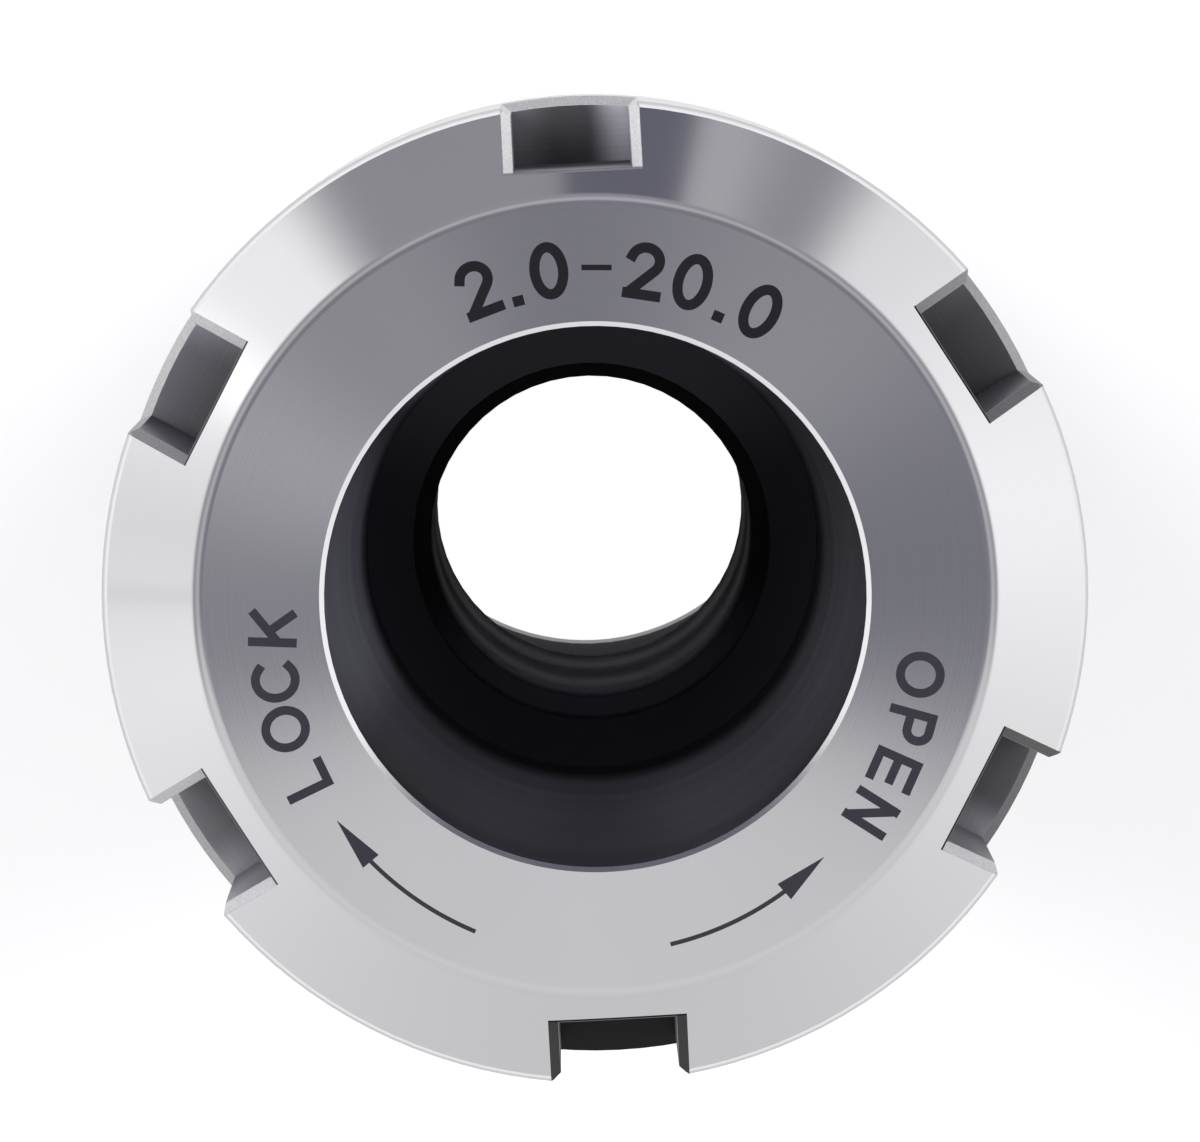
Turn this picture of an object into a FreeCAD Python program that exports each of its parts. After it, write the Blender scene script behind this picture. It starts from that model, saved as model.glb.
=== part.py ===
# Straight shank collet chuck with a round six-slot clamping nut, standing on its shank.
# Millimetres. The origin is the centre of the shank's rear face, and +Z runs along the axis to the nut.
import FreeCAD, Part
import math
import os

# The collet that the chuck takes: its taper's large end
collet_diameter = 33.0

# Shank: the straight part that the machine's holder clamps
shank_diameter = 40.0
shank_length = 100.0
shank_end_chamfer = 1.5

# Collar between shank and nose, a step smaller than the nut, with two flats for a spanner
collar_step = 1.0
collar_length = 30.0
collar_chamfer = 1.0
flat_depth = 3.5
flats_length = 14.0

# Nose that carries the nut. The thread's helix isn't modelled: nose and nut stand at its pitch diameter.
nose_wall = 3.5
thread_pitch = 1.5
nose_chamfer = 1.0
nose_relief_width = 2.5
nose_relief_depth = 0.7

# Bores of the body, from the mouth to the rear end
taper_half_angle = 8.0
taper_length = 29.2
relief_length = 4.5
drill_half_angle = 59.0
pilot_step = 0.9
pilot_length = 2.7
through_bore_diameter = 18.0
through_bore_length = 29.0
shank_wall = 5.6
rear_bore_chamfer = 0.5

# Clamping nut
nut_wall = 5.0
nut_length = 22.5
front_cone_width = 4.9
front_cone_angle = 30.0
face_edge_radius = 0.9
rim_edge_break = 0.3
mouth_lip = 2.84
mouth_chamfer_width = 0.37
mouth_chamfer_depth = 0.28
mouth_flare_angle = 15.0
front_wall = 2.2
nut_rear_chamfer = 0.8
nut_thread_chamfer = 0.8
nut_relief_width = 2.0
nut_relief_depth = 0.2

# Spanner slots round the nut, open at the front cone
slot_count = 6
slot_width = 6.0
slot_depth = 3.5
slot_length = 15.5
slot_rim_chamfer = 0.5

# Extractor ring inside the nut, with the collet's front cone and an eccentric lip
ring_length = 4.5
ring_mouth_step = 0.64
ring_cone_half_angle = 30.0
ring_lip_width = 1.2
ring_lip_reach = 0.2
ring_lip_offset = 0.9
ring_edge_chamfer = 0.3

# Snap ring that holds the extractor ring in the nut, half its thickness in the nut's groove
snap_width = 1.0
snap_thickness = 1.0
snap_gap_angle = 24.0

# Clearances between the pieces
thread_clearance = 0.05
nut_to_collar_gap = 0.5
nose_to_nut_gap = 0.4
ring_entry_clearance = 0.4
ring_running_clearance = 0.1
ring_end_play = 0.1
snap_seat_clearance = 0.03
snap_running_clearance = 0.15

# ISO metric profile: how far the pitch line and the nut's crest lie inside the nose's crest, in pitches
pitch_line_depth = 0.3248
nut_crest_depth = 0.5413

# Radii of the thread
thread_radius = collet_diameter / 2 + nose_wall
pitch_radius = thread_radius - pitch_line_depth * thread_pitch
nut_minor_radius = thread_radius - nut_crest_depth * thread_pitch
nose_radius = pitch_radius - thread_clearance
nut_bore_radius = pitch_radius + thread_clearance

# Heights and radii that follow from the sizes above
nut_radius = thread_radius + nut_wall
face_radius = nut_radius - front_cone_width
slot_floor = nut_radius - slot_depth
collar_radius = nut_radius - collar_step
collar_z = shank_length
nose_z = shank_length + collar_length
nut_rear_z = nose_z + nut_to_collar_gap
face_z = nut_rear_z + nut_length
ring_top_z = face_z - front_wall - ring_end_play
ring_bottom_z = ring_top_z - ring_length
mouth_z = ring_bottom_z - nose_to_nut_gap
mouth_radius = collet_diameter / 2 - mouth_lip
ring_radius = nut_minor_radius - ring_entry_clearance
seat_radius = ring_radius + ring_running_clearance
snap_radius = seat_radius + snap_thickness / 2
snap_z = ring_top_z - ring_length / 2

# How far an edge may lie from where it is looked for
edge_tolerance = 1e-4

CENTRE = FreeCAD.Vector(0, 0, 0)
Z_AXIS = FreeCAD.Vector(0, 0, 1)


def tan(degrees):
    return math.tan(math.radians(degrees))


# Height at which the front cone starts
cone_z = face_z - front_cone_width * tan(front_cone_angle)


def turned(outline):
    """Solid turned about Z from a closed outline of (radius, height) points."""
    points = [FreeCAD.Vector(radius, 0, z) for radius, z in outline]
    face = Part.Face(Part.makePolygon(points + points[:1]))
    return face.revolve(CENTRE, Z_AXIS, 360)


def hoop(inner_radius, outer_radius, half_width, angle=360):
    """Ring of rectangular section round the axis, at the height of the snap ring."""
    corners = [
        FreeCAD.Vector(inner_radius, 0, snap_z - half_width),
        FreeCAD.Vector(outer_radius, 0, snap_z - half_width),
        FreeCAD.Vector(outer_radius, 0, snap_z + half_width),
        FreeCAD.Vector(inner_radius, 0, snap_z + half_width),
    ]
    face = Part.Face(Part.makePolygon(corners + corners[:1]))
    return face.revolve(CENTRE, Z_AXIS, angle)


def bore_outline():
    """Half section of everything bored out of the body, from its mouth to its rear end."""
    taper_radius = collet_diameter / 2
    taper_end_z = mouth_z - taper_length
    relief_radius = taper_radius - taper_length * tan(taper_half_angle)
    relief_end_z = taper_end_z - relief_length
    bore_radius = through_bore_diameter / 2
    pilot_radius = bore_radius + pilot_step
    pilot_z = relief_end_z - (relief_radius - pilot_radius) / tan(drill_half_angle)
    pilot_end_z = pilot_z - pilot_length
    bore_z = pilot_end_z - pilot_step
    bore_end_z = bore_z - through_bore_length
    rear_radius = shank_diameter / 2 - shank_wall
    rear_z = bore_end_z - (rear_radius - bore_radius) / tan(drill_half_angle)
    return [
        (0, mouth_z),
        (taper_radius, mouth_z),
        (relief_radius, taper_end_z),
        (relief_radius, relief_end_z),
        (pilot_radius, pilot_z),
        (pilot_radius, pilot_end_z),
        (bore_radius, bore_z),
        (bore_radius, bore_end_z),
        (rear_radius, rear_z),
        (rear_radius, rear_bore_chamfer),
        (rear_radius + rear_bore_chamfer, 0),
        (0, 0),
    ]


def body_outline():
    """Half section of the body's outside: shank, collar and threaded nose."""
    shank_radius = shank_diameter / 2
    relief_radius = nut_minor_radius - nose_relief_depth
    relief_top_z = nose_z + nose_relief_width
    return [
        (0, 0),
        (shank_radius - shank_end_chamfer, 0),
        (shank_radius, shank_end_chamfer),
        (shank_radius, collar_z),
        (collar_radius - collar_chamfer, collar_z),
        (collar_radius, collar_z + collar_chamfer),
        (collar_radius, nose_z - collar_chamfer),
        (collar_radius - collar_chamfer, nose_z),
        (relief_radius, nose_z),
        (relief_radius, relief_top_z),
        (nose_radius, relief_top_z + nose_radius - relief_radius),
        (nose_radius, mouth_z - nose_chamfer),
        (nose_radius - nose_chamfer, mouth_z),
        (0, mouth_z),
    ]


def spanner_flats():
    """The two blocks that are milled off the collar's sides."""
    flats_z = collar_z + (collar_length - flats_length) / 2
    start = FreeCAD.Vector(collar_radius - flat_depth, -collar_radius, flats_z)
    block = Part.makeBox(2 * flat_depth, 2 * collar_radius, flats_length, start)
    return [block, block.rotated(CENTRE, Z_AXIS, 180)]


def make_chuck_body():
    body = turned(body_outline()).cut(turned(bore_outline()))
    return body.cut(spanner_flats())


def nut_skin_outline():
    """Half section of the nut's outside: rear chamfer, rim, front cone and flat face."""
    return [
        (0, nut_rear_z),
        (nut_radius - nut_rear_chamfer, nut_rear_z),
        (nut_radius, nut_rear_z + nut_rear_chamfer),
        (nut_radius, cone_z),
        (face_radius, face_z),
        (0, face_z),
    ]


def nut_bore_outline():
    """Half section of the nut's inside: thread, its relief, the ring's seat and the mouth."""
    relief_radius = thread_radius + nut_relief_depth
    relief_z = ring_bottom_z - nut_relief_width
    flare = (front_wall - mouth_chamfer_depth) * tan(mouth_flare_angle)
    return [
        (0, nut_rear_z),
        (nut_bore_radius + nut_thread_chamfer, nut_rear_z),
        (nut_bore_radius, nut_rear_z + nut_thread_chamfer),
        (nut_bore_radius, relief_z - relief_radius + nut_bore_radius),
        (relief_radius, relief_z),
        (relief_radius, ring_bottom_z),
        (seat_radius, ring_bottom_z),
        (seat_radius, face_z - front_wall),
        (mouth_radius + flare, face_z - front_wall),
        (mouth_radius, face_z - mouth_chamfer_depth),
        (mouth_radius + mouth_chamfer_width, face_z),
        (0, face_z),
    ]


def circle_edges(solid, radius, z):
    """The solid's circular edges of that radius at that height."""
    return [
        edge
        for edge in solid.Edges
        if isinstance(edge.Curve, Part.Circle)
        and abs(edge.Curve.Radius - radius) < edge_tolerance
        and abs(edge.Curve.Center.z - z) < edge_tolerance
    ]


def rim_edge_outline():
    """Half section of what is taken off the corner where the front cone meets the rim."""
    clear_radius = nut_radius + rim_edge_break
    top_z = cone_z + rim_edge_break * tan(front_cone_angle)
    return [
        (nut_radius, cone_z - rim_edge_break),
        (clear_radius, cone_z - rim_edge_break),
        (clear_radius, top_z),
        (nut_radius - rim_edge_break, top_z),
    ]


def spanner_slots():
    """One cutter per slot, the first at +Y. Each floor is flat, and each end wall square to the axis."""
    start = FreeCAD.Vector(-slot_width / 2, slot_floor, face_z - slot_length)
    cutter = Part.makeBox(slot_width, 2 * slot_depth, 2 * slot_length, start)
    step = 360 / slot_count
    return [cutter.rotated(CENTRE, Z_AXIS, index * step) for index in range(slot_count)]


def is_slot_rim(edge):
    """True for an edge where a slot's side or end wall breaks out through the nut's side or front cone."""
    middle = edge.valueAt((edge.FirstParameter + edge.LastParameter) / 2)
    radius = math.hypot(middle.x, middle.y)
    cone_radius = face_radius + (face_z - middle.z) / tan(front_cone_angle)
    on_skin = abs(radius - min(nut_radius, cone_radius)) < edge_tolerance
    pitch = 2 * math.pi / slot_count
    turn = math.atan2(middle.x, middle.y)
    from_slot = turn - pitch * round(turn / pitch)
    in_slot = abs(radius * math.sin(from_slot)) < slot_width / 2 + edge_tolerance
    past_floor = radius * math.cos(from_slot) > slot_floor + edge_tolerance
    before_end = middle.z > face_z - slot_length - edge_tolerance
    return on_skin and in_slot and past_floor and before_end


def make_clamping_nut():
    nut = turned(nut_skin_outline()).cut(turned(nut_bore_outline()))
    nut = nut.makeFillet(face_edge_radius, circle_edges(nut, face_radius, face_z))
    nut = nut.cut(spanner_slots())
    nut = nut.makeChamfer(slot_rim_chamfer, [edge for edge in nut.Edges if is_slot_rim(edge)])
    groove = hoop(mouth_radius, snap_radius + snap_seat_clearance, snap_width / 2 + snap_seat_clearance)
    return nut.cut([groove, turned(rim_edge_outline())])


def make_extractor_ring():
    """Ring with the collet's front cone inside, and behind it an eccentric lip."""
    cone_length = ring_length - ring_lip_width
    small_radius = mouth_radius + ring_mouth_step
    large_radius = small_radius + cone_length * tan(ring_cone_half_angle)
    lip_z = ring_top_z - cone_length
    ring = turned(
        [
            (small_radius, ring_top_z),
            (ring_radius - ring_edge_chamfer, ring_top_z),
            (ring_radius, ring_top_z - ring_edge_chamfer),
            (ring_radius, ring_bottom_z + ring_edge_chamfer),
            (ring_radius - ring_edge_chamfer, ring_bottom_z),
            (0, ring_bottom_z),
            (0, lip_z),
            (large_radius, lip_z),
        ]
    )
    lip_bore = Part.makeCylinder(
        collet_diameter / 2 - ring_lip_reach,
        2 * ring_lip_width,
        FreeCAD.Vector(0, ring_lip_offset, lip_z - 2 * ring_lip_width),
    )
    groove_bottom = ring_radius - snap_thickness
    groove = hoop(groove_bottom, nut_radius, snap_width / 2 + snap_running_clearance)
    return ring.cut([lip_bore, groove])


def make_snap_ring():
    """Split ring, sprung out into the nut's groove."""
    return hoop(snap_radius - snap_thickness, snap_radius, snap_width / 2, 360 - snap_gap_angle)


def main():
    os.makedirs("parts", exist_ok=True)
    nodes = {
        "chuck_body": make_chuck_body(),
        "clamping_nut": make_clamping_nut(),
        "extractor_ring": make_extractor_ring(),
        "snap_ring": make_snap_ring(),
    }
    for name, shape in nodes.items():
        shape.exportStep(f"parts/{name}.step")
        state = "valid" if shape.isValid() else "not valid"
        print(name, state, len(shape.Solids), round(shape.Volume, 1))


main()
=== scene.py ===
"""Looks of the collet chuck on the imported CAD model: steel finishes, face markings and both threads."""
import math

import bmesh
import bpy
from mathutils import Matrix, Vector


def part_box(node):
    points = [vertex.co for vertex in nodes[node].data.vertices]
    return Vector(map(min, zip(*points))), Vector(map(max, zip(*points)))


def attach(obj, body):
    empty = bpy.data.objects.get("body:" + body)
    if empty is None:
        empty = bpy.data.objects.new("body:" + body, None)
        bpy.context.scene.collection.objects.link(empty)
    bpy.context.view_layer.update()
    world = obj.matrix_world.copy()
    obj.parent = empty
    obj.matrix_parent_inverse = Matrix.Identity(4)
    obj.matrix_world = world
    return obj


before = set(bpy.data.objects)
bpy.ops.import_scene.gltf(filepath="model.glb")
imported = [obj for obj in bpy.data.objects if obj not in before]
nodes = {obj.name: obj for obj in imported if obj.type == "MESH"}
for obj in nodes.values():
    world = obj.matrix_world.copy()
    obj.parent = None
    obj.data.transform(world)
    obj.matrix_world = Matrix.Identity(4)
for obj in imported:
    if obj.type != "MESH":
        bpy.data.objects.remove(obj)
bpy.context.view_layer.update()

MM = 0.001
BLACK = (0.0, 0.0, 0.0)
WHITE = (1.0, 1.0, 1.0)
FACE_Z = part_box("clamping_nut")[1].z / MM

# The photograph's camera: distance from the nut's face, and pixels of its 1200 x 1142 frame
CAMERA_DISTANCE = 419.0
FOCAL_PIXELS = 8330.0
FRAME_WIDTH = 1200
FRAME_CENTRE = (600.0, 571.0)
FACE_CENTRE_PIXEL = (595.4, 597.5)
AXIS_VANISHING_PIXEL = (556.0, -17.0)
CAMERA_ROLL = math.radians(3.0)
SENSOR_WIDTH = 36.0

# The nut's slots, as in the CAD model
SLOT_COUNT = 6
SLOT_HALF_WIDTH = 3.0
SLOT_FLOOR = 21.5
SLOT_END_Z = 137.5
SLOT_CHAMFER = 0.5

# How far the masks reach past the slots' surfaces, and past the floor onto the thin edge in front of it
SLOT_MARGIN = 0.02
FLOOR_MARGIN = 0.03
BRINK_REACH = 0.12
SOFT_CORNER_HEIGHT = 14.0

# The nut's front: the flat face with a slight crown, its rounded edge, and the cone
FACE_INNER = 13.9
FACE_CROWN = 0.07
EDGE_START = 19.72
EDGE_END = 20.42
CONE_SINE = 0.5
CONE_OUTER = 24.69
CONE_LOW_Z = 150.3
NUT_RADIUS = 25.0

# Where the nut's outside begins, below the cone and away from the axis
OUTSIDE_Z = (150.2, 150.0)
OUTSIDE_RADIUS = (20.6, 20.8)

# Painted light and shade round the nut, by slot, clockwise from the lowest one as the camera sees it:
# the tones stand in for how light falls on and into each slot.
# In the slots: middle, counterclockwise end, clockwise end.
# On their chamfers: the same two ends, the outer edge, and the thin edge along the floor.
SLOT_PAINTED_SHADING = (
    (0.014, 0.0, 0.0),
    (0.18, 0.15, 0.03),
    (0.19, 0.02, 0.15),
    (0.08, 0.10, 0.52),
    (0.095, 0.06, -0.02),
    (0.095, 0.0, 0.17),
)
CHAMFER_PAINTED_SHADING = (
    (0.05, 0.05, 0.012, 0.02),
    (0.58, 0.55, 0.42, 0.1),
    (0.34, 0.60, 0.50, 0.1),
    (0.62, 0.65, 0.78, 0.5),
    (0.30, 0.20, 0.34, 0.02),
    (0.13, 0.52, 0.18, 0.04),
)

# The body's surfaces: from where to where a finish or a tone gives way to the next; the tones inside the
# body are painted light and shade
INSIDE_RADIUS = (17.2, 17.0)
INSIDE_BOTTOM_Z = 1.0
TAPER_Z = (136.0, 117.0)
TAPER_PAINTED_SHADE_Z = (116.0, 120.5)
RELIEF_Z = (116.7, 116.5)
BORE_Z = (109.3, 109.0)
BORE_DULL_Z = (101.0, 107.0)
BORE_PAINTED_SHADE_Z = (102.5, 107.0)
REAR_BORE_Z = (77.9, 77.7)
SHANK_Z = (99.7, 99.4)
BAND_PEAK_Z = 84.6
BAND_PITCH = 12.5

# The studio's zones, by the upward part of a direction: where each gives way to the next below it
CREST_FROM = (0.93, 0.87)
TROUGH_FROM = (0.83, 0.77)
WALL_FROM = (0.72, 0.56)
LOW_WALL_FROM = (0.40, 0.34)
HORIZON_FROM = (0.1, 0.072)

# Soft glows on the ceiling: their place as slopes in x and y, reach and brightness
CEILING_GLOWS = (
    (-0.158, 0.01, 0.085, 0.42),
    (-0.18, -0.07, 0.06, 0.06),
    (-0.09, 0.085, 0.07, 0.22),
    (0.08, 0.08, 0.07, 0.18),
    (0.135, 0.045, 0.08, 0.18),
    (0.18, -0.075, 0.07, -0.05),
)

# Far floor, in metres from the axis: the lamps' light fades there, and more white takes its place
FAR_FLOOR = (0.3, 1.2)
FAR_LIFT = 0.25

# Threads
THREAD_PITCH = 1.5
NOSE_RADIUS = 19.463
NOSE_CREST = 20.0
NOSE_THREAD_Z = (133.7, 144.6)
NUT_BORE_RADIUS = 19.563
NUT_CREST = 19.19
NUT_THREAD_Z = (131.3, 143.4)
THREAD_STEPS = 96
FLANK_SLOPE = math.tan(math.radians(30))
THREAD_SINK = 0.06

# Markings on the face. Angles are the photograph's, clockwise from its right; radii are in millimetres.
MARK_HEIGHT = 0.01
MARK_STEP = 0.001
MARK_ROOT = 0.05
WORD_CENTRE = (0.0, -2.11)
WORD_RADIUS = 16.35
WORD_HEIGHT = 2.01
WORD_STROKE = 0.45
NUMBER_RADIUS = 16.6
NUMBER_HEIGHT = 2.38
NUMBER_STROKE = 0.52
NUMBER_MIDDLE = -85.5
NUMBER_GAP = 0.55
ARROW_STROKE = 0.22
ARROW_HEAD = 1.03
ARROW_STEPS = 16
DASH_STROKE = 0.28
MARK_LEVELS = 7


# Node helpers
def add(tree, kind, inputs=None, **settings):
    """Adds a node. Each input is a value, or another node's output to link."""
    made = tree.nodes.new(kind)
    for key, value in settings.items():
        setattr(made, key, value)
    for key, value in (inputs or {}).items():
        if isinstance(value, bpy.types.NodeSocket):
            tree.links.new(value, made.inputs[key])
        else:
            made.inputs[key].default_value = value
    return made


def calc(tree, operation, *values):
    inputs = dict(enumerate(values))
    return add(tree, "ShaderNodeMath", inputs, operation=operation).outputs[0]


def smooth(tree, value, start, end, low=0.0, high=1.0):
    """Smooth step from low at start to high at end."""
    inputs = {"Value": value, "From Min": start, "From Max": end, "To Min": low, "To Max": high}
    made = add(tree, "ShaderNodeMapRange", inputs, interpolation_type="SMOOTHSTEP")
    return made.outputs[0]


def smooth_mm(tree, value, span, low=0.0, high=1.0):
    """The same over a span in millimetres."""
    return smooth(tree, value, span[0] * MM, span[1] * MM, low, high)


def linear(tree, value, start, end, low, high):
    inputs = {"Value": value, "From Min": start, "From Max": end, "To Min": low, "To Max": high}
    return add(tree, "ShaderNodeMapRange", inputs).outputs[0]


def blend(tree, factor, first, second):
    """Number between first and second."""
    made = add(tree, "ShaderNodeMix", {0: factor, 2: first, 3: second}, data_type="FLOAT")
    return made.outputs[0]


def blend_colour(tree, factor, first, second):
    made = add(tree, "ShaderNodeMix", {0: factor}, data_type="RGBA")
    for index, value in ((6, first), (7, second)):
        if isinstance(value, bpy.types.NodeSocket):
            tree.links.new(value, made.inputs[index])
        else:
            made.inputs[index].default_value = (*value, 1.0)
    return made.outputs[2]


def lobe(tree, value, centre, reach, height):
    """Smooth bump of that height round a centre, gone at the reach on either side."""
    gap = calc(tree, "ABSOLUTE", calc(tree, "SUBTRACT", value, centre))
    return smooth(tree, gap, reach, 0.0, 0.0, height)


def slot_steps(tree, share, rows):
    """The numbers of each slot's row, jumping from slot to slot; share runs from 0 to 1 round the nut."""
    ramp = add(tree, "ShaderNodeValToRGB", {0: share})
    stops = ramp.color_ramp
    stops.interpolation = "CONSTANT"
    stops.elements.remove(stops.elements[1])
    stops.elements[0].color = (*rows[0], 1.0)[:4]
    for index in range(1, SLOT_COUNT + 1):
        stop = stops.elements.new((index - 0.5) / SLOT_COUNT)
        stop.color = (*rows[index % SLOT_COUNT], 1.0)[:4]
    parts = add(tree, "ShaderNodeSeparateColor", {0: ramp.outputs[0]}).outputs
    return parts[0], parts[1], parts[2], ramp.outputs[1]


def new_material(name):
    material = bpy.data.materials.new(name)
    material.use_nodes = True
    material.node_tree.nodes.clear()
    return material, material.node_tree


def finish_material(
    tree, colour, roughness, height, bump, metallic=1.0, anisotropy=0.0, specular=0.5, normal=None
):
    """Principled shader with its grooves round the Z axis, and a bump of the given depth in metres."""
    shader = add(
        tree,
        "ShaderNodeBsdfPrincipled",
        {"Base Color": colour, "Metallic": metallic, "Roughness": roughness},
    )
    shader.inputs["Anisotropic"].default_value = anisotropy
    shader.inputs["Specular IOR Level"].default_value = specular
    if anisotropy:
        tangent = add(tree, "ShaderNodeTangent", direction_type="RADIAL", axis="Z")
        tree.links.new(tangent.outputs[0], shader.inputs["Tangent"])
        shader.inputs["Anisotropic Rotation"].default_value = 0.25
    made = add(tree, "ShaderNodeBump", {"Strength": 1.0, "Distance": bump, "Height": height})
    if normal:
        tree.links.new(normal, made.inputs["Normal"])
    tree.links.new(made.outputs[0], shader.inputs["Normal"])
    output = add(tree, "ShaderNodeOutputMaterial")
    tree.links.new(shader.outputs[0], output.inputs["Surface"])


def place(tree):
    """x, y, z, the radius from the axis, and the object coordinates themselves, in metres."""
    coordinates = add(tree, "ShaderNodeTexCoord").outputs["Object"]
    parts = add(tree, "ShaderNodeSeparateXYZ", {0: coordinates}).outputs
    squares = calc(tree, "ADD", calc(tree, "POWER", parts[0], 2.0), calc(tree, "POWER", parts[1], 2.0))
    return parts[0], parts[1], parts[2], calc(tree, "SQRT", squares), coordinates


def groove_noise(tree, radius, z, scale, detail=3.0):
    """Noise in rings round the axis, as a turning tool leaves it on faces, cones and cylinders alike."""
    along = calc(tree, "SUBTRACT", radius, calc(tree, "MULTIPLY", z, 1.3))
    made = add(
        tree,
        "ShaderNodeTexNoise",
        {"W": along, "Scale": scale, "Detail": detail},
        noise_dimensions="1D",
    )
    return made.outputs[0]


def cloud_noise(tree, coordinates, scale, detail=2.0):
    made = add(tree, "ShaderNodeTexNoise", {"Vector": coordinates, "Scale": scale, "Detail": detail})
    return made.outputs[0]


# Materials
def turned_normal(tree, x, y, radius, mask, own):
    """Normal of the nut's front where the mask is 1: slightly crowned face, rounded edge and cone."""
    slope = linear(tree, radius, EDGE_START * MM, EDGE_END * MM, FACE_CROWN, CONE_SINE)
    share = calc(tree, "DIVIDE", slope, radius)
    upward = calc(tree, "SQRT", calc(tree, "SUBTRACT", 1.0, calc(tree, "POWER", slope, 2.0)))
    parts = {0: calc(tree, "MULTIPLY", x, share), 1: calc(tree, "MULTIPLY", y, share), 2: upward}
    turned = add(tree, "ShaderNodeCombineXYZ", parts).outputs[0]
    turned = add(
        tree,
        "ShaderNodeVectorTransform",
        {0: turned},
        vector_type="NORMAL",
        convert_from="OBJECT",
        convert_to="WORLD",
    ).outputs[0]
    return add(tree, "ShaderNodeMix", {0: mask, 4: own, 5: turned}, data_type="VECTOR").outputs[1]


def soft_corner(tree, z, mask):
    """The surface's own normal, turned upward near the slots' ends, so that their corners look round."""
    own = add(tree, "ShaderNodeNewGeometry").outputs["Normal"]
    upward = add(tree, "ShaderNodeCombineXYZ", {2: 1.0}).outputs[0]
    share = smooth_mm(tree, z, (SLOT_END_Z, SLOT_END_Z + SOFT_CORNER_HEIGHT), 0.93, 0.25)
    share = calc(tree, "MULTIPLY", share, mask)
    mixed = add(tree, "ShaderNodeMix", {0: share, 4: own, 5: upward}, data_type="VECTOR").outputs[1]
    return add(tree, "ShaderNodeVectorMath", {0: mixed}, operation="NORMALIZE").outputs[0]


def slot_place(tree, x, y, radius):
    """Share of the way round of the nearest slot's middle, and the distances across it and outward."""
    angle = calc(tree, "ARCTAN2", x, y)
    half_pitch = math.pi / SLOT_COUNT
    folded = calc(tree, "WRAP", angle, half_pitch, -half_pitch)
    middle = calc(tree, "SUBTRACT", angle, folded)
    share = calc(tree, "ADD", calc(tree, "DIVIDE", middle, 2 * math.pi), 0.5)
    across = calc(tree, "MULTIPLY", radius, calc(tree, "SINE", folded))
    outward = calc(tree, "MULTIPLY", radius, calc(tree, "COSINE", folded))
    return share, across, outward


def slot_mask(tree, z, across, outward, margin, rim):
    """1 in the slots, their walls and end moved out by the margin and their floor inward by the rim."""
    near = calc(tree, "LESS_THAN", calc(tree, "ABSOLUTE", across), (SLOT_HALF_WIDTH + margin) * MM)
    above = calc(tree, "GREATER_THAN", z, (SLOT_END_Z - margin) * MM)
    beyond = calc(tree, "GREATER_THAN", outward, (SLOT_FLOOR - rim) * MM)
    return calc(tree, "MULTIPLY", calc(tree, "MULTIPLY", near, above), beyond)


def slot_painted_shading(tree, z, share, across, outward, brushed):
    """Painted shade and light on a slot's end by slot and side, lighter towards the opening, and painted
    shade on its walls and floor.
    """
    middle, back_end, fore_end, _ = slot_steps(tree, share, SLOT_PAINTED_SHADING)
    back = calc(tree, "MULTIPLY", smooth_mm(tree, across, (-0.6, -2.9)), back_end)
    fore = calc(tree, "MULTIPLY", smooth_mm(tree, across, (0.8, 2.8)), fore_end)
    tone = calc(tree, "ADD", middle, calc(tree, "ADD", back, fore))
    # Painted light: lighter towards the slot's opening, darker towards its floor
    lift = linear(tree, outward, SLOT_FLOOR * MM, NUT_RADIUS * MM, 0.8, 1.35)
    tone = calc(tree, "MULTIPLY", tone, calc(tree, "MULTIPLY", lift, blend(tree, brushed, 0.82, 1.18)))
    # Painted shade: a fixed tone on the slot's floor and a lowest tone on its walls
    on_floor = calc(tree, "LESS_THAN", outward, (SLOT_FLOOR + FLOOR_MARGIN) * MM)
    tone = blend(tree, on_floor, tone, 0.16)
    above_end = calc(tree, "GREATER_THAN", z, (SLOT_END_Z + SLOT_MARGIN) * MM)
    on_wall = calc(tree, "SUBTRACT", above_end, on_floor)
    return calc(tree, "MAXIMUM", tone, calc(tree, "MULTIPLY", on_wall, 0.26))


def chamfer_painted_shading(tree, z, share, across, outward, grain):
    """Painted light and shade on a slot's chamfers by slot and side."""
    back_edge, fore_edge, outer_edge, brink = slot_steps(tree, share, CHAMFER_PAINTED_SHADING)
    tone = blend(tree, calc(tree, "GREATER_THAN", across, 0.0), back_edge, fore_edge)
    on_end = calc(tree, "LESS_THAN", z, (SLOT_END_Z + SLOT_MARGIN) * MM)
    tone = blend(tree, on_end, tone, outer_edge)
    tone = calc(tree, "MULTIPLY", tone, blend(tree, grain, 0.72, 1.28))
    on_brink = calc(tree, "LESS_THAN", outward, (SLOT_FLOOR - FLOOR_MARGIN) * MM)
    return blend(tree, on_brink, tone, brink)


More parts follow.
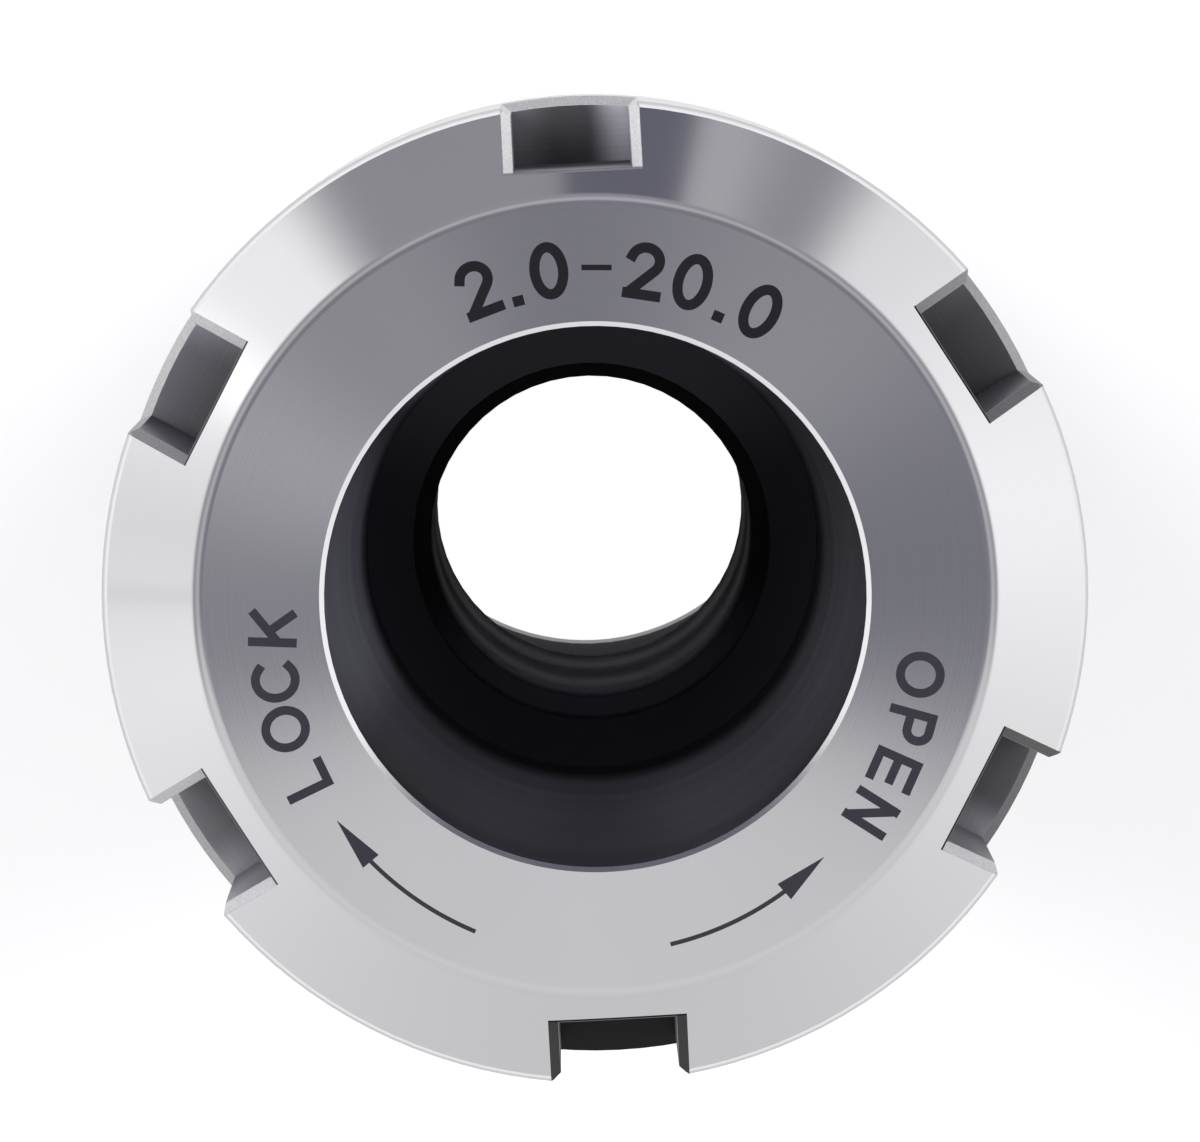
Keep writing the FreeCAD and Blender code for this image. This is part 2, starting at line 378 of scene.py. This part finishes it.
def nut_material():
    """Satin turned steel, with milled slots and frosted chamfers that carry painted light and shade by
    slot, the slots darker with painted shade.
    """
    material, tree = new_material("nut_turned_steel")
    x, y, z, radius, coordinates = place(tree)
    fine = groove_noise(tree, radius, z, 9000.0)
    broad = cloud_noise(tree, coordinates, 90.0)
    grain = cloud_noise(tree, coordinates, 9000.0)
    share, across, outward = slot_place(tree, x, y, radius)
    reach = SLOT_CHAMFER + SLOT_MARGIN
    in_slot = slot_mask(tree, z, across, outward, SLOT_MARGIN, FLOOR_MARGIN)
    on_chamfer = slot_mask(tree, z, across, outward, reach, BRINK_REACH)
    on_chamfer = calc(tree, "SUBTRACT", on_chamfer, in_slot)
    along = calc(tree, "ADD", outward, calc(tree, "MULTIPLY", z, 0.7))
    brushed = add(
        tree,
        "ShaderNodeTexNoise",
        {"W": along, "Scale": 7000.0, "Detail": 2.0},
        noise_dimensions="1D",
    ).outputs[0]
    below_cone = smooth_mm(tree, z, OUTSIDE_Z)
    outside = calc(tree, "MULTIPLY", below_cone, smooth_mm(tree, radius, OUTSIDE_RADIUS))
    tone = blend(tree, fine, 0.715, 0.745)
    tone = calc(tree, "SUBTRACT", tone, calc(tree, "MULTIPLY", broad, 0.03))
    tone = calc(tree, "MULTIPLY", tone, blend(tree, outside, 1.0, 0.72))
    # Painted shade and light in the slots and on their chamfers, by slot
    tone = blend(tree, in_slot, tone, slot_painted_shading(tree, z, share, across, outward, brushed))
    tone = blend(tree, on_chamfer, tone, chamfer_painted_shading(tree, z, share, across, outward, grain))
    tint = blend_colour(tree, in_slot, (0.987, 0.98, 1.0), (0.98, 0.965, 1.055))
    colour = blend_colour(tree, tone, BLACK, tint)
    rough = calc(tree, "ADD", calc(tree, "MULTIPLY", fine, 0.05), calc(tree, "MULTIPLY", broad, 0.03))
    rough = calc(tree, "ADD", rough, blend(tree, outside, 0.10, 0.2))
    rough = blend(tree, in_slot, rough, 0.45)
    rough = blend(tree, on_chamfer, rough, 0.5)
    height = blend(tree, in_slot, fine, brushed)
    height = blend(tree, on_chamfer, height, grain)
    height = calc(tree, "MULTIPLY", height, 0.6e-6)
    front = calc(tree, "GREATER_THAN", z, CONE_LOW_Z * MM)
    front = calc(tree, "MULTIPLY", front, calc(tree, "LESS_THAN", radius, CONE_OUTER * MM))
    front = calc(tree, "MULTIPLY", front, calc(tree, "GREATER_THAN", radius, FACE_INNER * MM))
    near_slot = slot_mask(tree, z, across, outward, reach, FLOOR_MARGIN)
    front = calc(tree, "MULTIPLY", front, calc(tree, "SUBTRACT", 1.0, near_slot))
    normal = turned_normal(tree, x, y, radius, front, soft_corner(tree, z, in_slot))
    metallic = blend(tree, in_slot, 1.0, 0.4)
    finish_material(tree, colour, rough, height, 1.0, metallic, anisotropy=0.5, normal=normal)
    return material


def inner_painted_shading(tree, z, east, north, bored, behind):
    """Painted light and shade inside the body, by depth and side: taper, relief, through bore and rear
    bore.
    """
    # Painted sheen: lighter towards the sides and towards +Y, where the light falls in
    painted_sheen = smooth(tree, calc(tree, "ABSOLUTE", east), 0.2, 0.72, 0.92, 0.53)
    painted_sheen = calc(tree, "ADD", painted_sheen, smooth(tree, east, -0.8, -0.97, 0.0, 0.6))
    painted_sheen = calc(tree, "ADD", painted_sheen, smooth(tree, north, 0.6, 0.95, 0.0, 2.2))
    # Painted light, brighter deeper in the taper, and painted shade where the taper fades out at its end
    taper = linear(tree, z, TAPER_Z[0] * MM, TAPER_Z[1] * MM, 0.14, 0.48)
    taper = calc(tree, "MULTIPLY", taper, painted_sheen)
    taper = calc(tree, "MULTIPLY", taper, smooth_mm(tree, z, TAPER_PAINTED_SHADE_Z, 0.08, 1.0))
    # Painted light and shade in the relief and the bore by side, and painted shade deeper in the bore
    relief = smooth(tree, north, 0.3, 0.9, 0.045, 0.14)
    bore = smooth(tree, north, -0.95, -0.2, 0.85, 0.12)
    bore = calc(tree, "MULTIPLY", bore, smooth_mm(tree, z, BORE_PAINTED_SHADE_Z, 1.0, 0.2))
    tone = blend(tree, smooth_mm(tree, z, RELIEF_Z), taper, relief)
    tone = blend(tree, bored, tone, bore)
    # Painted shade: a fixed dark tone in the rear bore
    return blend(tree, behind, tone, 0.1)


def body_material():
    """Blackened steel with a ground shank, duller and bluish in the taper, the relief and the bores, where
    the tone is painted light and shade.
    """
    material, tree = new_material("body_black_oxide")
    x, y, z, radius, coordinates = place(tree)
    fine = groove_noise(tree, radius, z, 5000.0)
    coarse = groove_noise(tree, radius, z, 400.0, 1.0)
    broad = cloud_noise(tree, coordinates, 70.0)
    inside = smooth_mm(tree, radius, INSIDE_RADIUS)
    inside = calc(tree, "MULTIPLY", inside, calc(tree, "GREATER_THAN", z, INSIDE_BOTTOM_Z * MM))
    bored = smooth_mm(tree, z, BORE_Z)
    behind = smooth_mm(tree, z, REAR_BORE_Z)
    ground = smooth_mm(tree, z, SHANK_Z)
    east = calc(tree, "DIVIDE", x, radius)
    north = calc(tree, "DIVIDE", y, radius)
    # Painted light and shade inside the body, with real grain from the coarse noise
    inside_painted_shading = inner_painted_shading(tree, z, east, north, bored, behind)
    inside_painted_shading = calc(tree, "MULTIPLY", inside_painted_shading, blend(tree, coarse, 0.85, 1.15))
    tone = calc(tree, "ADD", calc(tree, "MULTIPLY", fine, 0.03), calc(tree, "MULTIPLY", broad, 0.03))
    tone = calc(tree, "ADD", tone, blend(tree, ground, 0.075, 0.17))
    tone = blend(tree, inside, tone, inside_painted_shading)
    colour = blend_colour(tree, tone, BLACK, (0.92, 0.93, 1.08))
    above_peak = calc(tree, "SUBTRACT", z, BAND_PEAK_Z * MM)
    bands = calc(tree, "MULTIPLY", above_peak, 2 * math.pi / (BAND_PITCH * MM))
    polish = linear(tree, calc(tree, "COSINE", bands), -1.0, 1.0, 0.59, 0.46)
    polish = calc(tree, "ADD", polish, smooth_mm(tree, z, BORE_DULL_Z, 0.0, 0.5))
    rough = calc(tree, "ADD", calc(tree, "MULTIPLY", fine, 0.08), calc(tree, "MULTIPLY", broad, 0.08))
    rough = calc(tree, "ADD", rough, blend(tree, ground, 0.36, 0.27))
    rough = blend(tree, inside, rough, calc(tree, "ADD", calc(tree, "MULTIPLY", coarse, 0.2), 0.5))
    in_bores = calc(tree, "MULTIPLY", inside, bored)
    rough = blend(tree, in_bores, rough, blend(tree, behind, polish, 0.8))
    metallic = blend(tree, inside, 0.85, 0.3)
    finish_material(tree, colour, rough, fine, 1.0e-6, metallic, anisotropy=0.8, specular=0.4)
    return material


def plain_steel(name, tone, rough):
    """Ground or rolled steel for the pieces inside the nut."""
    material, tree = new_material(name)
    _, _, z, radius, coordinates = place(tree)
    fine = groove_noise(tree, radius, z, 6000.0)
    broad = cloud_noise(tree, coordinates, 110.0)
    level = blend(tree, fine, tone - 0.04, tone + 0.04)
    level = calc(tree, "ADD", level, calc(tree, "MULTIPLY", broad, 0.02))
    colour = blend_colour(tree, level, BLACK, WHITE)
    roughness = blend(tree, broad, rough - 0.04, rough + 0.06)
    finish_material(tree, colour, roughness, fine, 1.5e-6, anisotropy=0.5)
    return material


def marking_material(name, tone):
    """Laser marking: dark oxide, slightly uneven."""
    material, tree = new_material(name)
    coordinates = place(tree)[4]
    grain = cloud_noise(tree, coordinates, 5000.0)
    patch = cloud_noise(tree, coordinates, 500.0)
    level = calc(tree, "ADD", blend(tree, grain, 0.85, 1.15), calc(tree, "MULTIPLY", patch, 0.2))
    level = calc(tree, "MULTIPLY", level, tone)
    colour = blend_colour(tree, level, BLACK, (0.95, 0.9, 1.15))
    finish_material(tree, colour, blend(tree, patch, 0.5, 0.65), grain, 1.0e-6, metallic=0.0, specular=0.1)
    return material


# Meshes
def new_piece(name, mesh_data, material, body):
    mesh = bpy.data.meshes.new(name)
    mesh_data.to_mesh(mesh)
    mesh_data.free()
    mesh.materials.append(material)
    piece = bpy.data.objects.new(name, mesh)
    bpy.context.scene.collection.objects.link(piece)
    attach(piece, body)
    return piece


def helix(name, root, crest, span, phase, material, body):
    """One ridge of 60 degree profile that winds right-handed from the lower to the upper height."""
    pitch_radius = (NOSE_RADIUS + NUT_BORE_RADIUS) / 2
    root_half = THREAD_PITCH / 4 + abs(root - pitch_radius) * FLANK_SLOPE
    crest_half = root_half - abs(crest - root) * FLANK_SLOPE
    sunk = root - math.copysign(THREAD_SINK, crest - root)
    turns = (span[1] - span[0] - 2 * root_half) / THREAD_PITCH
    steps = int(turns * THREAD_STEPS)
    data = bmesh.new()
    rings = []
    for step in range(steps + 1):
        turn = step / THREAD_STEPS
        fade = min(1.0, 4 * turn, 4 * (steps / THREAD_STEPS - turn))
        top = sunk + (crest - sunk) * fade
        middle = span[0] + root_half + turn * THREAD_PITCH
        angle = 2 * math.pi * turn + phase
        ring = []
        for radius, height in (
            (sunk, middle - root_half),
            (top, middle - crest_half),
            (top, middle + crest_half),
            (sunk, middle + root_half),
        ):
            point = Vector((radius * math.cos(angle), radius * math.sin(angle), height)) * MM
            ring.append(data.verts.new(point))
        rings.append(ring)
    for low, high in zip(rings, rings[1:]):
        for index in range(4):
            after = (index + 1) % 4
            data.faces.new((low[index], low[after], high[after], high[index]))
    data.faces.new(rings[0][::-1])
    data.faces.new(rings[-1])
    bmesh.ops.recalc_face_normals(data, faces=data.faces)
    return new_piece(name, data, material, body)


def edge_points(line, width, closed):
    """Left and right edges of a stroke of that width along a line, with mitred corners."""
    count = len(line)
    left, right = [], []
    for index in range(count):
        before = line[index - 1] if index or closed else None
        after = line[(index + 1) % count] if index < count - 1 or closed else None
        here = line[index]
        ways = []
        if before is not None:
            ways.append((here - before).normalized())
        if after is not None:
            ways.append((after - here).normalized())
        sides = [Vector((-way.y, way.x)) for way in ways]
        side = sum(sides, Vector((0, 0))).normalized()
        reach = min(1 / max(side.dot(sides[0]), 0.05), 1.6)
        left.append(here + side * reach * width / 2)
        right.append(here - side * reach * width / 2)
    return left, right


def mark_top(data):
    """Height of the next stroke's top: each lies a little over the last, so that none share a plane."""
    return FACE_Z + MARK_HEIGHT + MARK_STEP * (len(data.faces) % MARK_LEVELS)


def lay_polygon(data, outline):
    """Thin closed plate of that outline on the nut's face."""
    height = mark_top(data)
    top = [data.verts.new(Vector((p.x, p.y, height)) * MM) for p in outline]
    low = [data.verts.new(Vector((p.x, p.y, FACE_Z - MARK_ROOT)) * MM) for p in outline]
    data.faces.new(top)
    data.faces.new(low[::-1])
    count = len(outline)
    for index in range(count):
        after = (index + 1) % count
        data.faces.new((top[after], top[index], low[index], low[after]))


def lay_ring(data, outer, inner):
    """The same for a closed stroke, between its two edges."""
    levels = []
    for height in (mark_top(data), FACE_Z - MARK_ROOT):
        level = []
        for edge in (outer, inner):
            level.append([data.verts.new(Vector((p.x, p.y, height)) * MM) for p in edge])
        levels.append(level)
    (top_out, top_in), (low_out, low_in) = levels
    count = len(outer)
    for index in range(count):
        after = (index + 1) % count
        data.faces.new((top_out[index], top_out[after], top_in[after], top_in[index]))
        data.faces.new((low_out[after], low_out[index], low_in[index], low_in[after]))
        data.faces.new((top_out[after], top_out[index], low_out[index], low_out[after]))
        data.faces.new((top_in[index], top_in[after], low_in[after], low_in[index]))


def lay_stroke(data, line, width, closed=False):
    """Lays a stroke whose square ends reach half a width past the line's own ends."""
    if not closed:
        line = line[:]
        line[0] = line[0] + (line[0] - line[1]).normalized() * width / 2
        line[-1] = line[-1] + (line[-1] - line[-2]).normalized() * width / 2
    left, right = edge_points(line, width, closed)
    if closed:
        lay_ring(data, right, left)
    else:
        lay_polygon(data, right + left[::-1])


def oval(width, height, start, end, steps, middle=0.5):
    """Points of an ellipse round (0, middle), angles in degrees counterclockwise from the right."""
    points = []
    for step in range(steps + 1):
        angle = math.radians(start + (end - start) * step / steps)
        points.append((width / 2 * math.cos(angle), middle + height / 2 * math.sin(angle)))
    return points


def glyph(letter):
    """Centre lines of a character one unit high, as (points, closed) pairs, and its width."""
    if letter == "O":
        return [(oval(0.94, 1.0, 0, 360, 40)[:-1], True)], 0.94
    if letter == "C":
        return [(oval(0.92, 1.0, 48, 312, 30), False)], 0.8
    if letter == "L":
        return [([(-0.27, 1), (-0.27, 0), (0.29, 0)], False)], 0.56
    if letter == "K":
        return [
            ([(-0.36, 0), (-0.36, 1)], False),
            ([(-0.28, 0.43), (0.33, 0.97)], False),
            ([(-0.08, 0.58), (0.33, 0.04)], False),
        ], 0.72
    if letter == "P":
        bowl = [(0.1 + x, y) for x, y in oval(0.5, 0.56, 90, -90, 14, 0.72)]
        return [
            ([(-0.3, 0), (-0.3, 1)], False),
            ([(-0.3, 1)] + bowl + [(-0.3, 0.44)], False),
        ], 0.65
    if letter == "E":
        return [
            ([(0.33, 1), (-0.33, 1), (-0.33, 0), (0.33, 0)], False),
            ([(-0.33, 0.5), (0.26, 0.5)], False),
        ], 0.66
    if letter == "N":
        return [
            ([(-0.34, 0), (-0.34, 1)], False),
            ([(-0.31, 0.955), (0.31, 0.045)], False),
            ([(0.34, 0), (0.34, 1)], False),
        ], 0.68
    if letter == "0":
        return [(oval(0.6, 1.0, 0, 360, 40)[:-1], True)], 0.6
    if letter == "2":
        hook = oval(0.6, 0.56, 165, -38, 16, 0.72)
        return [
            (hook + [(-0.25, 0.042)], False),
            ([(-0.29, 0), (0.31, 0)], False),
        ], 0.6
    if letter == "-":
        return [([(-0.26, 0.5), (0.26, 0.5)], False)], 0.52
    return [([(-0.01, 0.0), (0.01, 0.0)], False)], 0.06


def set_glyph(data, letter, centre, radius, angle, height, stroke):
    """Sets a character with its middle at a photograph angle on a circle, its top outward."""
    turn = math.radians(-angle) - CAMERA_ROLL
    up = Vector((math.cos(turn), math.sin(turn)))
    right = Vector((up.y, -up.x))
    middle = Vector(centre) + up * radius
    for points, closed in glyph(letter)[0]:
        line = [middle + right * (x * height) + up * ((y - 0.5) * height) for x, y in points]
        width = DASH_STROKE if letter == "-" else stroke
        lay_stroke(data, line, width, closed)


def lay_arrow(data, radius, tail, base, tip):
    """Arc that ends in a straight-sided head, its angles from the photograph."""
    def on_circle(angle):
        turn = math.radians(-angle) - CAMERA_ROLL
        return Vector(WORD_CENTRE) + Vector((math.cos(turn), math.sin(turn))) * radius

    line = [on_circle(tail + (base - tail) * step / ARROW_STEPS) for step in range(ARROW_STEPS + 1)]
    lay_stroke(data, line, ARROW_STROKE)
    point = on_circle(tip)
    way = (point - line[-1]).normalized()
    side = Vector((-way.y, way.x)) * ARROW_HEAD / 2
    lay_polygon(data, [line[-1] - side, point, line[-1] + side])


def make_markings():
    ink = marking_material("marking_dark", 0.034)
    words = {
        "word_open": (("O", 6.3), ("P", 15.4), ("E", 23.9), ("N", 32.5)),
        "word_lock": (("L", 154.1), ("O", 163.9), ("C", 172.8), ("K", 182.0)),
    }
    for name, letters in words.items():
        data = bmesh.new()
        for letter, angle in letters:
            set_glyph(data, letter, WORD_CENTRE, WORD_RADIUS, angle, WORD_HEIGHT, WORD_STROKE)
        new_piece(name, data, ink, "nut")
    arrows = {"arrow_lock": (16.02, 113.0, 135.5, 145.2), "arrow_open": (15.87, 76.2, 53.6, 43.9)}
    for name, sizes in arrows.items():
        data = bmesh.new()
        lay_arrow(data, *sizes)
        new_piece(name, data, ink, "nut")
    characters = "2.0-20.0"
    widths = [glyph(one)[1] * NUMBER_HEIGHT + NUMBER_STROKE for one in characters]
    whole = sum(widths) + NUMBER_GAP * (len(characters) - 1)
    data = bmesh.new()
    start = -whole / 2
    for one, width in zip(characters, widths):
        angle = NUMBER_MIDDLE + math.degrees((start + width / 2) / NUMBER_RADIUS)
        set_glyph(data, one, (0.0, 0.0), NUMBER_RADIUS, angle, NUMBER_HEIGHT, NUMBER_STROKE)
        start += width + NUMBER_GAP
    new_piece("range_numbers", data, marking_material("marking_black", 0.013), "nut")


# Stage, light and camera
def seen_rays(tree):
    """1 for camera, glossy and transmission rays."""
    path = add(tree, "ShaderNodeLightPath").outputs
    total = calc(tree, "MAXIMUM", path["Is Camera Ray"], path["Is Glossy Ray"])
    return calc(tree, "MAXIMUM", total, path["Is Transmission Ray"])


def stage_disc(name, radius, z, lift, tone):
    """Round stage surface, diffuse, with some white added for the rays that see the background."""
    data = bmesh.new()
    bmesh.ops.create_circle(data, cap_ends=True, segments=96, radius=radius * MM)
    mesh = bpy.data.meshes.new(name)
    data.to_mesh(mesh)
    data.free()
    disc = bpy.data.objects.new(name, mesh)
    disc.location.z = z * MM
    bpy.context.scene.collection.objects.link(disc)
    material, tree = new_material(name + "_surface")
    coordinates = add(tree, "ShaderNodeTexCoord").outputs["Object"]
    grain = cloud_noise(tree, coordinates, 800.0)
    colour = blend_colour(tree, grain, (tone - 0.01,) * 3, (tone + 0.01,) * 3)
    diffuse = add(tree, "ShaderNodeBsdfDiffuse", {"Color": colour})
    distance = add(tree, "ShaderNodeVectorMath", {0: coordinates}, operation="LENGTH").outputs["Value"]
    far_lift = smooth(tree, distance, FAR_FLOOR[0], FAR_FLOOR[1], lift, lift + FAR_LIFT)
    strength = calc(tree, "MULTIPLY", seen_rays(tree), far_lift)
    glow = add(tree, "ShaderNodeEmission", {"Color": (1.0, 1.0, 1.0, 1.0), "Strength": strength})
    both = add(tree, "ShaderNodeAddShader", {0: diffuse.outputs[0], 1: glow.outputs[0]})
    output = add(tree, "ShaderNodeOutputMaterial")
    tree.links.new(both.outputs[0], output.inputs["Surface"])
    mesh.materials.append(material)


def make_world():
    """White horizon, bright sides, a darker side towards +Y and a dark ceiling with a lit half."""
    world = bpy.data.worlds.new("studio")
    bpy.context.scene.world = world
    world.use_nodes = True
    tree = world.node_tree
    tree.nodes.clear()
    coordinates = add(tree, "ShaderNodeTexCoord").outputs["Generated"]
    parts = add(tree, "ShaderNodeSeparateXYZ", {0: coordinates}).outputs
    x, y, z = parts[0], parts[1], parts[2]
    squares = calc(tree, "ADD", calc(tree, "POWER", x, 2.0), calc(tree, "POWER", y, 2.0))
    flat = calc(tree, "MAXIMUM", calc(tree, "SQRT", squares), 0.001)
    north = calc(tree, "DIVIDE", y, flat)
    east = calc(tree, "DIVIDE", x, flat)
    west = smooth(tree, east, 0.0, -0.5)
    wall = linear(tree, north, -1.0, 0.0, 0.735, 1.24)
    wall = calc(tree, "SUBTRACT", wall, linear(tree, blend(tree, west, north, 0.0), 0.15, 0.7, 0.0, 0.2))
    band = calc(tree, "SUBTRACT", lobe(tree, north, 0.5, 0.14, 0.35), lobe(tree, north, 0.12, 0.42, 0.3))
    band = calc(tree, "SUBTRACT", band, lobe(tree, north, -0.03, 0.03, 0.2))
    wall = calc(tree, "ADD", wall, calc(tree, "MULTIPLY", west, band))
    grey = calc(tree, "ADD", lobe(tree, east, 0.35, 0.18, 0.18), 0.36)
    turn = calc(tree, "SUBTRACT", north, calc(tree, "MULTIPLY", west, 0.035))
    wall = blend(tree, smooth(tree, turn, 0.71, 0.83), wall, grey)
    from_wedge = calc(tree, "ABSOLUTE", calc(tree, "SUBTRACT", east, 0.13))
    wedge = calc(tree, "MULTIPLY", smooth(tree, from_wedge, 0.17, 0.14), smooth(tree, north, 0.0, 0.5))
    wall = blend(tree, wedge, wall, 0.15)
    height = calc(tree, "MAXIMUM", z, 0.05)
    slope_x = calc(tree, "DIVIDE", x, height)
    slope_y = calc(tree, "DIVIDE", y, height)
    tilted = calc(tree, "ADD", slope_y, calc(tree, "MULTIPLY", slope_x, 0.08))
    ceiling = smooth(tree, tilted, -0.115, -0.195, 0.24, 0.79)
    for centre_x, centre_y, reach, glow in CEILING_GLOWS:
        along = calc(tree, "POWER", calc(tree, "SUBTRACT", slope_x, centre_x), 2.0)
        aside = calc(tree, "POWER", calc(tree, "SUBTRACT", slope_y, centre_y), 2.0)
        gap = calc(tree, "SQRT", calc(tree, "ADD", along, aside))
        ceiling = calc(tree, "ADD", ceiling, smooth(tree, gap, reach, 0.0, 0.0, glow))
    south = smooth(tree, north, -0.1, -0.5)
    crest = calc(tree, "MAXIMUM", ceiling, blend(tree, south, 0.56, 0.82))
    trough = blend(tree, south, 0.36, 0.78)
    low_wall = linear(tree, north, -1.0, 0.0, 1.05, 1.25)
    low_wall = blend(tree, smooth(tree, north, 0.3, 0.8), low_wall, 0.16)
    light = blend(tree, smooth(tree, z, *CREST_FROM), ceiling, crest)
    light = blend(tree, smooth(tree, z, *TROUGH_FROM), light, trough)
    light = blend(tree, smooth(tree, z, *WALL_FROM), light, wall)
    level = calc(tree, "SUBTRACT", z, calc(tree, "MULTIPLY", north, 0.07))
    light = blend(tree, smooth(tree, level, *LOW_WALL_FROM), light, low_wall)
    light = blend(tree, smooth(tree, z, *HORIZON_FROM), light, 1.0)
    missing = calc(tree, "MAXIMUM", calc(tree, "SUBTRACT", 1.0, light), 0.0)
    shade = calc(tree, "MULTIPLY", missing, 0.05)
    blue = calc(tree, "ADD", light, shade)
    colour = add(tree, "ShaderNodeCombineXYZ", {0: light, 1: light, 2: blue}).outputs[0]
    background = add(tree, "ShaderNodeBackground", {"Color": colour, "Strength": 1.0})
    output = add(tree, "ShaderNodeOutputWorld")
    tree.links.new(background.outputs[0], output.inputs["Surface"])


def softbox(name, azimuth, elevation, distance, size, power, only_seen=False):
    """Area lamp aimed at the nut, azimuth counterclockwise from +X.

    It lights the diffuse parts, or it is only seen in the steel, as a highlight."""
    lamp = bpy.data.lights.new(name, "AREA")
    lamp.shape = "ELLIPSE"
    lamp.size, lamp.size_y = size
    lamp.energy = power
    lamp_object = bpy.data.objects.new(name, lamp)
    around, above = math.radians(azimuth), math.radians(elevation)
    way = Vector((math.cos(above) * math.cos(around), math.cos(above) * math.sin(around), math.sin(above)))
    aim = Vector((0, 0, FACE_Z * MM))
    lamp_object.location = aim + way * distance
    lamp_object.rotation_euler = way.to_track_quat("Z", "Y").to_euler()
    lamp_object.visible_camera = False
    lamp_object.visible_glossy = only_seen
    lamp_object.visible_diffuse = not only_seen
    bpy.context.scene.collection.objects.link(lamp_object)


def make_camera():
    """Puts the camera where the photograph's perspective says it was."""
    down = Vector(
        (
            AXIS_VANISHING_PIXEL[0] - FRAME_CENTRE[0],
            FRAME_CENTRE[1] - AXIS_VANISHING_PIXEL[1],
            -FOCAL_PIXELS,
        )
    ).normalized()
    right = Vector((math.cos(CAMERA_ROLL), math.sin(CAMERA_ROLL), 0))
    right = (right - right.dot(down) * down).normalized()
    up = -down
    forward = up.cross(right)
    turn = Matrix((right, forward, up))
    face_in_camera = Vector(
        (
            (FACE_CENTRE_PIXEL[0] - FRAME_CENTRE[0]) / FOCAL_PIXELS,
            (FRAME_CENTRE[1] - FACE_CENTRE_PIXEL[1]) / FOCAL_PIXELS,
            -1.0,
        )
    )
    face_in_camera *= CAMERA_DISTANCE * MM
    data = bpy.data.cameras.new("camera")
    data.sensor_width = SENSOR_WIDTH
    data.lens = FOCAL_PIXELS / FRAME_WIDTH * SENSOR_WIDTH
    data.clip_start = 0.01
    camera = bpy.data.objects.new("camera", data)
    place_at = Vector((0, 0, FACE_Z * MM)) - turn @ face_in_camera
    camera.matrix_world = Matrix.Translation(place_at) @ turn.to_4x4()
    bpy.context.scene.collection.objects.link(camera)
    bpy.context.scene.camera = camera


def dress(node, material):
    nodes[node].data.materials.clear()
    nodes[node].data.materials.append(material)


body_steel = body_material()
nut_steel = nut_material()
dress("chuck_body", body_steel)
dress("clamping_nut", nut_steel)
dress("extractor_ring", plain_steel("ring_ground_steel", 0.6, 0.25))
dress("snap_ring", plain_steel("spring_steel", 0.5, 0.35))
helix("nose_thread", NOSE_RADIUS, NOSE_CREST, NOSE_THREAD_Z, 0.0, body_steel, "chuck")
# The nut's ridge lies half a pitch from the nose's, so that it runs in its groove
phase = 2 * math.pi * ((NUT_THREAD_Z[0] - NOSE_THREAD_Z[0]) / THREAD_PITCH + 0.5)
helix("nut_thread", NUT_BORE_RADIUS, NUT_CREST, NUT_THREAD_Z, phase, nut_steel, "nut")
make_markings()
stage_disc("floor", 3000.0, 0.0, 0.25, 0.8)
stage_disc("light_card", 14.2, 0.3, 1.0, 0.8)
make_world()
softbox("softbox_left", 150.0, 50.0, 1.2, (0.5, 0.5), 6.0)
softbox("softbox_right", 25.0, 50.0, 1.2, (0.5, 0.5), 5.0)
softbox("strip_left", 150.0, 3.0, 1.0, (0.22, 0.3), 0.5, only_seen=True)
softbox("strip_right", 25.0, 3.0, 1.0, (0.22, 0.3), 0.5, only_seen=True)
make_camera()
bpy.context.scene.view_settings.view_transform = "Standard"
